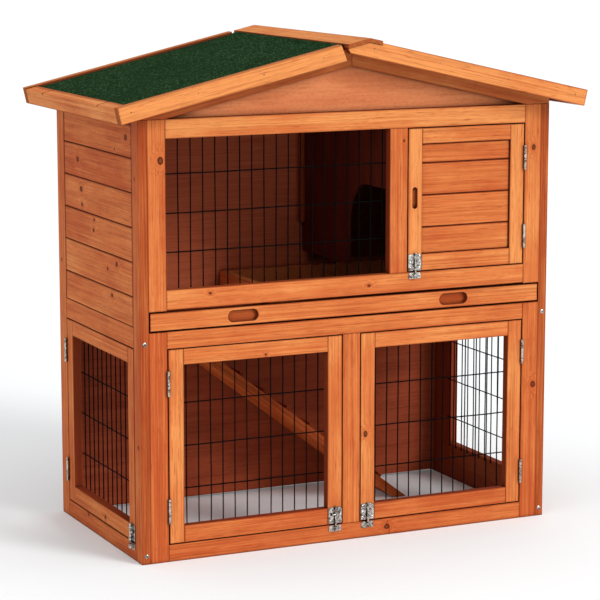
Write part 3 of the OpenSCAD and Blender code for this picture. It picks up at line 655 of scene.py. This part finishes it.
def bottom_kerfs():
    """Splits that run out of the knot in the bottom rail."""
    low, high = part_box("lower_front_rails")
    knot = low.x + (high.x - low.x) * 0.612
    return [(Vector((knot, low.y, low.z + 5 * MM)), Z * 9 * MM, X * 0.6 * MM, Y * 4 * MM),
            (Vector((knot - 5 * MM, low.y, low.z + 24 * MM)), Z * 5 * MM + X * 2 * MM,
             X * 0.5 * MM, Y * 3 * MM)]


def build_cabinet():
    c = "cabinet"
    # Beside each board's own colour, some values below paint light: the lower stiles, the bottom rails and
    # the rail under the eave are darker as painted shade; the roof's rakes and ridge cap are paler as
    # painted light.
    honey("front_legs", c, Z, tone=0.8)
    honey("back_legs", c, Z, tone=0.8, chance=0.25)
    honey("front_stiles", c, Z, tone=(0.95, 1.15, 0.66, 0.66),
          knots=((0, 0.62, 0.74, 0.0046), (2, 0.787, 0.72, 0.0048)))
    honey("upper_front_rails", c, X, tone=(0.66, 0.34),
          knots=((0, 0.115, 0.7, 0.0022), (0, 0.55, 0.46, 0.0024)), chance=0.0)
    honey("front_mullion", c, Z, tone=[0.86], knots=((0, 0.913, 0.79, 0.0020),), chance=0.0)
    honey("lower_front_rails", c, X, tone=(0.88, 0.7), chance=0.0, kerfs=bottom_kerfs(),
          knots=((0, 0.605, 0.50, 0.0042),))
    honey("middle_post", c, Z, tone=[0.8])
    honey("left_side_planks", c, Y, edge=0.0005, chance=0.1, tone=0.72, knots=SIDE_KNOTS,
          lip=0.0085)
    honey("right_side_planks", c, Y, edge=0.0005, chance=0.4, tone=0.6, lip=0.0085)
    honey("side_top_rails", c, Y, tone=0.95)
    honey("side_mid_rails", c, Y, tone=0.75)
    honey("side_bottom_rails", c, Y, tone=0.85)
    honey("window_frame", c, [Y, Z, Z, Y], tone=0.75)
    honey("back_rails", c, X, tone=0.7, chance=0.4)
    honey("gable_trim", c, [UP_LEFT, UP_LEFT, UP_RIGHT, UP_RIGHT], tone=0.7)
    honey("ridge_beam", c, Y, tone=0.6)
    honey("roof_rakes_right", c, UP_RIGHT, tone=0.02)
    honey("roof_eave_right", c, Y, tone=0.4)
    honey("ridge_cap", c, Y, tone=0.1)
    boards("floor_bearers", c, Y, INNER, "inner_wood")
    boards("upper_floor", c, X, BACK, "inner_wood", edge=0.0004)
    boards("partition", c, Z, SHADED_PARTITION, "inner_wood", edge=0.0004)
    boards("partition_batten", c, Z, RAMP_WOOD, "inner_wood", tone=0.6)
    # the upper back panel is set pale: painted light
    boards("back_panels", c, X, BACK, "inner_wood", edge=0.0003, tone=(0.36, 0.02))
    boards("gable_panels", c, X, PLY, "gable_ply", edge=0.0003)
    boards("roof_panel_right", c, Y, PLY, "gable_ply", edge=0.0004)


def groove_floor(node, depth):
    """Marks the bottom of a finger groove that is cut to this depth from the front, where its painted shade
    goes.
    """
    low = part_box(node)[0]
    return lambda p: 1.0 if low.y + depth - 0.0005 < p.y < low.y + depth + 0.0005 else 0.0


def build_movers():
    boards("roof_panel_left", "lid", Y, PLY, "gable_ply", edge=0.0004)
    # the left rakes are set pale: painted light on the roof
    honey("roof_rakes_left", "lid", UP_LEFT, tone=0.08)
    honey("roof_eave_left", "lid", Y, tone=0.25, kerfs=eave_kerfs())
    honey("tray_front", "tray", X, tone=[0.56], recess=groove_floor("tray_front", 0.009))
    boards("tray_floor", "tray", X, BACK, "inner_wood", edge=0.0003)
    # the tray rims get the paler wood and a pale value: painted light
    boards("tray_rims", "tray", [Y, Y, X], LIT_RIM_WOOD, "honey_wood", tone=0.2)
    boards("ramp_board", "ramp", DOWN_RAMP, RAMP_WOOD, "honey_wood", tone=0.5)
    boards("ramp_cleats", "ramp", Y, RAMP_WOOD, "honey_wood", tone=0.6)
    honey("nest_door_frame", "nest_door", [X, Z, Z, X], tone=0.5,
          recess=groove_floor("nest_door_frame", 0.007))
    honey("nest_door_planks", "nest_door", X, edge=0.0014, tone=0.78, chance=0.0, lip=0.003)
    # the lower doors' bottom rails are set dark: painted shade
    for name in ("lower_left", "lower_right", "side"):
        across = Y if name == "side" else X
        honey(name + "_door_frame", name + "_door", [across, Z, Z, across],
              tone=0.75 if name == "side" else (0.88, 0.5, 0.55, 0.6), chance=0.05)


# ------------------------------------------------------------------ roofing felt
def felt_sheet(node, up, past, hump=None):
    """The felt on one roof half: a sheet with small swells. It may run on past its panel, and
    a hump of (x, height, half width) lifts it over the hinges."""
    low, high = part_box(node)
    normal = Vector((-up.z, 0, up.x)) if up.x > 0 else Vector((up.z, 0, -up.x))
    co = [v.co for v in frame["nodes"][node].data.vertices]
    s0, s1 = min(c.dot(up) for c in co), max(c.dot(up) for c in co) + past
    n0, n1 = min(c.dot(normal) for c in co), max(c.dot(normal) for c in co)
    cols, rows, lift = 64, 72, 0.0007
    bm = bmesh.new()
    grid = []
    for i in range(cols + 1):
        s = s0 + (s1 - s0) * i / cols
        line = []
        for j in range(rows + 1):
            y = low.y + (high.y - low.y) * j / rows
            edge = min(i, cols - i, j, rows - j) / 6
            swell = math.sin(s * 41 + y * 9) * math.sin(y * 33 + 1.3) + math.sin(s * 17 - y * 23)
            h = n1 + lift * min(edge, 1.0) * swell
            if hump:
                away = min(1.0, abs(up.x * s + normal.x * n1 - hump[0]) / hump[2])
                h += hump[1] * (0.5 + 0.5 * math.cos(math.pi * away))
            line.append((bm.verts.new(up * s + normal * h + Y * y),
                         bm.verts.new(up * s + normal * n0 + Y * y)))
        grid.append(line)
    for i in range(cols):
        for j in range(rows):
            a, b, c, d = grid[i][j], grid[i + 1][j], grid[i + 1][j + 1], grid[i][j + 1]
            bm.faces.new((a[0], b[0], c[0], d[0]))
            bm.faces.new((d[1], c[1], b[1], a[1]))
    rim = [grid[i][0] for i in range(cols + 1)]
    rim += [grid[cols][j] for j in range(1, rows + 1)]
    rim += [grid[i][rows] for i in range(cols - 1, -1, -1)]
    rim += [grid[0][j] for j in range(rows - 1, 0, -1)]
    for a, b in zip(rim, rim[1:] + rim[:1]):
        bm.faces.new((a[0], a[1], b[1], b[0]))
    bmesh.ops.recalc_face_normals(bm, faces=bm.faces)
    obj = add_object(node + "_sheet", bm, FELT)
    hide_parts(node)
    return obj


def build_felt():
    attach(felt_sheet("roof_felt_right", UP_RIGHT, 0.0), "cabinet")
    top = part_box("roof_felt_left")[1]
    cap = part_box("ridge_cap")[0]
    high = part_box("roof_hinges_lid")[1]
    barrel = Vector((high.x - 3.5 * MM, 0, high.z))
    reach = (cap.x - 0.4 * MM - top.x) / math.cos(PITCH)
    sheet = felt_sheet("roof_felt_left", UP_LEFT, reach, (barrel.x, 2.4 * MM, 11 * MM))
    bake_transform(sheet, "lid", "cabinet", start=(top.x - 0.002, 0, top.z),
             end=(cap.x, 0, top.z))


# ------------------------------------------------------------------ metal fittings
def lathe(bm, centre, axis, profile, sides=24):
    """A turned solid: profile is (radius, distance along the axis), from end to end."""
    u = axis.orthogonal().normalized()
    v = axis.cross(u)
    rings = []
    for radius, along in profile:
        at = centre + axis * along
        if radius == 0:
            rings.append([bm.verts.new(at)])
        else:
            rings.append([bm.verts.new(at + (u * math.cos(a) + v * math.sin(a)) * radius)
                          for a in (2 * math.pi * k / sides for k in range(sides))])
    for r0, r1 in zip(rings, rings[1:]):
        for k in range(sides):
            quad = [r0[k % len(r0)], r0[(k + 1) % len(r0)], r1[(k + 1) % len(r1)], r1[k % len(r1)]]
            face = [q for i, q in enumerate(quad) if q not in quad[:i]]
            bm.faces.new(face)


def extrude_outline(bm, origin, u, v, w, points, w0, w1):
    """A closed outline in u and v, drawn out along w from w0 to w1."""
    ends = [[bm.verts.new(origin + u * a + v * b + w * d) for a, b in points] for d in (w0, w1)]
    for k in range(len(points)):
        n = (k + 1) % len(points)
        bm.faces.new((ends[0][k], ends[0][n], ends[1][n], ends[1][k]))
    bm.faces.new(ends[0][::-1])
    bm.faces.new(ends[1])


def arc(cx, cy, radius, a0, a1, steps=6):
    return [(cx + radius * math.cos(math.radians(a0 + (a1 - a0) * k / steps)),
             cy + radius * math.sin(math.radians(a0 + (a1 - a0) * k / steps)))
            for k in range(steps + 1)]


def plate(bm, at, right, out, half_w, z0, z1, thick, corner=0.003):
    """A pressed plate with round corners and eased edges, standing on the wood at out = 0."""
    part = bmesh.new()
    points = (arc(half_w - corner, z1 - corner, corner, 0, 90)
              + arc(corner - half_w, z1 - corner, corner, 90, 180)
              + arc(corner - half_w, z0 + corner, corner, 180, 270)
              + arc(half_w - corner, z0 + corner, corner, 270, 360))
    extrude_outline(part, at, right, Z, out, points, 0.0001, thick)
    bmesh.ops.recalc_face_normals(part, faces=part.faces)
    ease_edges(part, 0.0004, 50)
    merge(bm, part)


def strap(bm, at, right, out, z0, z1, inner, thick, foot, base, rod_out):
    """A pressed strap over the rod: a foot on each side and a half round between them."""
    part = bmesh.new()
    outer = inner + thick
    points = ([(-outer - foot, base), (-outer - foot, base + thick), (-outer, base + thick)]
              + arc(0, rod_out, outer, 180, 0, 12)
              + [(outer, base + thick), (outer + foot, base + thick), (outer + foot, base),
                 (inner, base)] + arc(0, rod_out, inner, 0, 180, 12) + [(-inner, base)])
    extrude_outline(part, at, right, out, Z, points, z0, z1)
    bmesh.ops.recalc_face_normals(part, faces=part.faces)
    ease_edges(part, 0.0003, 50)
    merge(bm, part)


def screw_head(bm, centre, out, radius, height):
    """A domed head with a cross pressed into it."""
    part = bmesh.new()
    u = out.orthogonal().normalized()
    turn = rng.uniform(0, math.pi / 2)
    u = (u * math.cos(turn) + out.cross(u) * math.sin(turn)).normalized()
    v = out.cross(u)
    sides, rings = 32, 8
    slot, reach, sink = 0.17 * radius, 0.62 * radius, 0.45 * height
    loops = []
    for k in range(rings + 1):
        r = radius * k / rings
        loop = []
        for s in range(sides if k else 1):
            a = 2 * math.pi * s / sides
            x, y = r * math.cos(a), r * math.sin(a)
            h = height * math.sqrt(max(0.0, 1 - 0.75 * (r / radius) ** 2))
            if r < reach and min(abs(x), abs(y)) < slot:
                h -= sink
            loop.append(part.verts.new(centre + u * x + v * y + out * h))
        loops.append(loop)
    loops.append([part.verts.new(p.co - out * p.co.dot(out) + out * centre.dot(out))
                  for p in loops[-1]])
    for r0, r1 in zip(loops, loops[1:]):
        for s in range(sides):
            quad = [r0[s % len(r0)], r1[s], r1[(s + 1) % sides], r0[(s + 1) % len(r0)]]
            part.faces.new([q for i, q in enumerate(quad) if q not in quad[:i]])
    part.faces.new(loops[-1][::-1])
    bmesh.ops.recalc_face_normals(part, faces=part.faces)
    merge(bm, part)


ROD_OUT = 4.6 * MM                       # how far the bolt's centre stands from the wood
ROD_TOP = 36 * MM                        # its top: at the low limit it is still in its strap
PLATE = 1.4 * MM                         # how thick the latch plates are
LATCHES = {                              # door: way to the knob, way out of the wood
    "nest": (X, -Y), "lower_left": (-X, -Y), "lower_right": (X, -Y), "side": (-Y, -X)}


def latch_place(door):
    """The latch's own origin, on the wood below the middle of its plate, from its bolt."""
    right, out = LATCHES[door]
    low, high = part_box(door + "_bolt")
    rod = min((low, high), key=lambda c: c.dot(right)).dot(right) + 2.0 * MM
    wood = min((low, high), key=lambda c: c.dot(out)).dot(out) - 2.6 * MM
    return right * rod + out * wood + Z * (low.z + 3.5 * MM), right, out


def plain_metal(node, drop=None):
    """A CAD node's metal with eased edges, without the solids that drop() picks."""
    bm = solid_mesh(node)
    if drop:
        gone = [v for part in islands(bm)
                if drop(sum((q.co for q in part), Vector()) / len(part)) for v in part]
        bmesh.ops.delete(bm, geom=gone, context="VERTS")
    ease_edges(bm, 0.00035, 40)
    return bm


def slim_barrels(bm):
    """Draws the square-cut barrels in to rolled ones, 5 mm thick, around each door's pin."""
    pins = [Vector(j["pos_m"]) for j in frame["joints"] if j["name"].endswith("door_hinge")]
    for v in bm.verts:
        for pin in pins:
            off = Vector((v.co.x - pin.x, v.co.y - pin.y, 0))
            if 2.6 * MM < off.length < 3.7 * MM:
                v.co -= off * (1 - 2.6 * MM / off.length)


def build_latch(door):
    at, right, out = latch_place(door)
    bm = plain_metal(door + "_door_fittings", lambda c: (c - at).length < 0.03)
    slim_barrels(bm)
    plate(bm, at, right, out, 14 * MM, 1 * MM, 33 * MM, PLATE)
    for z in (3 * MM, 25 * MM):
        strap(bm, at, right, out, z, z + 5 * MM, 2.25 * MM, 1.1 * MM, 2.6 * MM, PLATE, ROD_OUT)
    for side in (-1, 1):
        for z in (5.5 * MM, 16.5 * MM, 28.5 * MM):
            if z == 16.5 * MM and side == 1:
                continue                # the knob's way
            screw_head(bm, at + right * side * 10.6 * MM + out * PLATE + Z * z, out,
                       2.3 * MM, 0.9 * MM)
    settle(door + "_door_hinges_and_latch", bm, ZINC, door + "_door", "zinc_steel",
           door + "_door_fittings")
    bolt = bmesh.new()
    lathe(bolt, at + out * ROD_OUT, Z,
          [(0, -3.5 * MM), (1.2 * MM, -3.4 * MM), (1.8 * MM, -2.9 * MM), (2 * MM, -2.2 * MM),
           (2 * MM, ROD_TOP - 0.8 * MM), (1.7 * MM, ROD_TOP - 0.2 * MM), (0, ROD_TOP)])
    lathe(bolt, at + out * ROD_OUT + Z * 19.5 * MM, right,
          [(0, 0), (1.5 * MM, 0.2 * MM), (1.5 * MM, 5.0 * MM), (2.2 * MM, 5.6 * MM),
           (2.6 * MM, 6.9 * MM), (2.2 * MM, 8.2 * MM), (1.2 * MM, 8.9 * MM), (0, 9 * MM)])
    bmesh.ops.recalc_face_normals(bolt, faces=bolt.faces)
    settle(door + "_bolt_turned", bolt, ZINC, door + "_latch", "zinc_steel", door + "_bolt")


def build_keepers():
    bm = bmesh.new()
    for door in LATCHES:
        at, right, out = latch_place(door)
        plate(bm, at, right, out, 13 * MM, -15 * MM, -3 * MM, PLATE, 0.0025)
        strap(bm, at, right, out, -13 * MM, -5 * MM, 2.35 * MM, 1.1 * MM, 2.4 * MM, PLATE,
              ROD_OUT)
        for side in (-1, 1):
            screw_head(bm, at + right * side * 9.9 * MM + out * PLATE - Z * 9 * MM, out,
                       2.1 * MM, 0.9 * MM)
    settle("latch_keepers_pressed", bm, ZINC, "cabinet", "zinc_steel", "latch_keepers")


def build_hinges():
    for node, body in (("roof_hinges_fixed", "cabinet"), ("roof_hinges_lid", "lid"),
                       ("ramp_pivot", "cabinet")):
        settle(node + "_eased", plain_metal(node), HINGE, body, "zinc_steel", node)
    bm = plain_metal("door_hinges_fixed")
    slim_barrels(bm)
    settle("door_hinges_fixed_rolled", bm, HINGE, "cabinet", "zinc_steel", "door_hinges_fixed")


def build_screws():
    """The four screws through the legs, with domed cross heads."""
    bm = bmesh.new()
    low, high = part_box("frame_screws")
    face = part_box("front_legs")[0].y
    for x in (low.x + 4 * MM, high.x - 4 * MM):
        for z in (low.z + 4 * MM, high.z - 4 * MM):
            lathe(bm, Vector((x, face, z)), Y,
                  [(0, 12 * MM), (1.2 * MM, 10 * MM), (1.8 * MM, 8 * MM), (1.8 * MM, 0.1 * MM),
                   (0, 0.1 * MM)])
            screw_head(bm, Vector((x, face, z)), -Y, 4 * MM, 1.35 * MM)
    bmesh.ops.recalc_face_normals(bm, faces=bm.faces)
    settle("frame_screws_turned", bm, ZINC, "cabinet", "zinc_steel", "frame_screws")


# ------------------------------------------------------------------ brads
def brads(name, body, spots):
    """Small sunk nails: spots are (place on the wood, way out of it)."""
    bm = bmesh.new()
    for at, out in spots:
        lathe(bm, at, out, [(0, -0.8 * MM), (1.1 * MM, -0.7 * MM), (1.25 * MM, 0.05 * MM),
                            (0.8 * MM, 0.18 * MM), (0, 0.2 * MM)], 12)
    bmesh.ops.recalc_face_normals(bm, faces=bm.faces)
    settle(name, bm, NAIL, body, "zinc_steel")


def rake_spots(node, up):
    """Brads along the outer faces of the two rakes of a roof half."""
    low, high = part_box(node)
    co = [v.co for v in frame["nodes"][node].data.vertices]
    normal = Vector((-up.z, 0, up.x)) if up.x > 0 else Vector((up.z, 0, -up.x))
    s0, s1 = min(c.dot(up) for c in co), max(c.dot(up) for c in co)
    n1 = max(c.dot(normal) for c in co)
    spots = []
    for share in (0.05, 0.34, 0.63, 0.90):
        middle = up * (s0 + (s1 - s0) * share) + normal * (n1 - 14 * MM)
        spots += [(middle + Y * low.y, -Y), (middle + Y * high.y, Y)]
    return spots


def build_brads():
    cabinet = rake_spots("roof_rakes_right", UP_RIGHT)
    low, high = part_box("left_side_planks")
    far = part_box("right_side_planks")[1]
    planks = 6
    for i in range(planks):
        z = low.z + (high.z - low.z) * (i + 0.5) / planks
        for y in (low.y + 9 * MM, high.y - 9 * MM):
            for dz in (-15 * MM, 15 * MM):
                cabinet += [(Vector((low.x, y, z + dz)), -X), (Vector((far.x, y, z + dz)), X)]
    low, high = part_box("back_rails")
    for z in (low.z + 19 * MM, low.z + 424 * MM, high.z - 19 * MM):
        for k in range(7):
            cabinet.append((Vector((low.x + (high.x - low.x) * (k + 0.5) / 7, high.y, z)), Y))
    brads("cabinet_brads", "cabinet", cabinet)
    brads("lid_brads", "lid", rake_spots("roof_rakes_left", UP_LEFT))


# ------------------------------------------------------------------ wire meshes
def tube(bm, points, radius, sides=8):
    rings = []
    for i, p in enumerate(points):
        a = points[max(i - 1, 0)]
        b = points[min(i + 1, len(points) - 1)]
        d = (b - a).normalized()
        side = d.orthogonal().normalized()
        other = d.cross(side)
        rings.append([bm.verts.new(p + (side * math.cos(2 * math.pi * k / sides)
                                        + other * math.sin(2 * math.pi * k / sides)) * radius)
                      for k in range(sides)])
    for r0, r1 in zip(rings, rings[1:]):
        for k in range(sides):
            bm.faces.new((r0[k], r0[(k + 1) % sides], r1[(k + 1) % sides], r1[k]))
    bm.faces.new(rings[0][::-1])
    bm.faces.new(rings[-1])


def wire_panel(node, body, flat, rows):
    """Round welded wire in place of a node's square one. flat is the panel's level direction."""
    low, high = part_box(node)
    lap, pitch, radius = 0.006, 0.025, 0.00128
    thin = X if flat == Y else Y
    a0, a1 = low.dot(flat) + lap, high.dot(flat) - lap
    count = int((a1 - a0 - 0.008) // pitch)
    first = a0 + (a1 - a0 - count * pitch) / 2
    depth0, depth1 = low.dot(thin) + 0.001, high.dot(thin) - 0.001
    up_depth, row_depth = (depth1, depth0) if node == "window_mesh" else (depth0, depth1)
    bm = bmesh.new()
    for i in range(count + 1):
        at = first + i * pitch
        lean = rng.uniform(-0.0006, 0.0006)
        tube(bm, [flat * (at + lean * math.sin(k)) + thin * up_depth
                  + Z * (low.z + (high.z - low.z) * k / 6) for k in range(7)], radius)
    for z in rows:
        tube(bm, [flat * (low.dot(flat) + (high.dot(flat) - low.dot(flat)) * k / 8)
                  + thin * row_depth + Z * (z + rng.uniform(-0.0004, 0.0004))
                  for k in range(9)], radius)
        for i in range(count + 1):      # a small weld where the wires cross
            at = first + i * pitch
            bmesh.ops.create_icosphere(bm, subdivisions=1, radius=radius * 1.35,
                                       matrix=Matrix.Translation(
                                           flat * at + thin * (up_depth + row_depth) / 2 + Z * z))
    bmesh.ops.recalc_face_normals(bm, faces=bm.faces)
    obj = add_object(node + "_wires", bm, WIRE, smooth=60)
    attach(obj, body)
    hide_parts(node)


def build_meshes():
    lower = (0.135, 0.217, 0.300)
    wire_panel("upper_mesh", "cabinet", X, (0.5865, 0.6595, 0.7325))
    wire_panel("window_mesh", "cabinet", Y, lower)
    wire_panel("lower_left_door_mesh", "lower_left_door", X, lower)
    wire_panel("lower_right_door_mesh", "lower_right_door", X, lower)
    wire_panel("side_door_mesh", "side_door", Y, lower)


# ------------------------------------------------------------------ studio
def add_light(name, kind, place, target, energy, **more):
    data = bpy.data.lights.new(name, kind)
    data.energy = energy
    for k, v in more.items():
        setattr(data, k, v)
    obj = bpy.data.objects.new(name, data)
    obj.location = place
    obj.rotation_mode = "QUATERNION"
    obj.rotation_quaternion = (Vector(target) - Vector(place)).to_track_quat("-Z", "Y")
    scene.collection.objects.link(obj)


def build_studio():
    bm = bmesh.new()
    bmesh.ops.create_grid(bm, x_segments=8, y_segments=8, size=60)
    mesh = bpy.data.meshes.new("floor")
    bm.to_mesh(mesh)
    bm.free()
    mesh.materials.append(pale_floor())
    floor = bpy.data.objects.new("floor", mesh)
    scene.collection.objects.link(floor)
    world = bpy.data.worlds.new("studio")
    world.use_nodes = True
    world.node_tree.nodes["Background"].inputs["Color"].default_value = (1, 1, 1, 1)
    world.node_tree.nodes["Background"].inputs["Strength"].default_value = 0.45
    scene.world = world
    aim = (0, 0, 0.3)
    add_light("key", "SUN", (2.2, -3.6, 2.6), aim, 1.8, angle=math.radians(22))
    add_light("fill", "SUN", (1.1, -4.0, 0.9), aim, 0.62, angle=math.radians(50))
    add_light("top", "SUN", (0.2, -0.6, 5.0), aim, 1.3, angle=math.radians(70))
    add_light("left", "SUN", (-4.0, -1.2, 1.0), aim, 0.60, angle=math.radians(50))


build_cabinet()
build_movers()
build_felt()
for door in LATCHES:
    build_latch(door)
build_keepers()
build_hinges()
build_screws()
build_brads()
build_meshes()
build_studio()
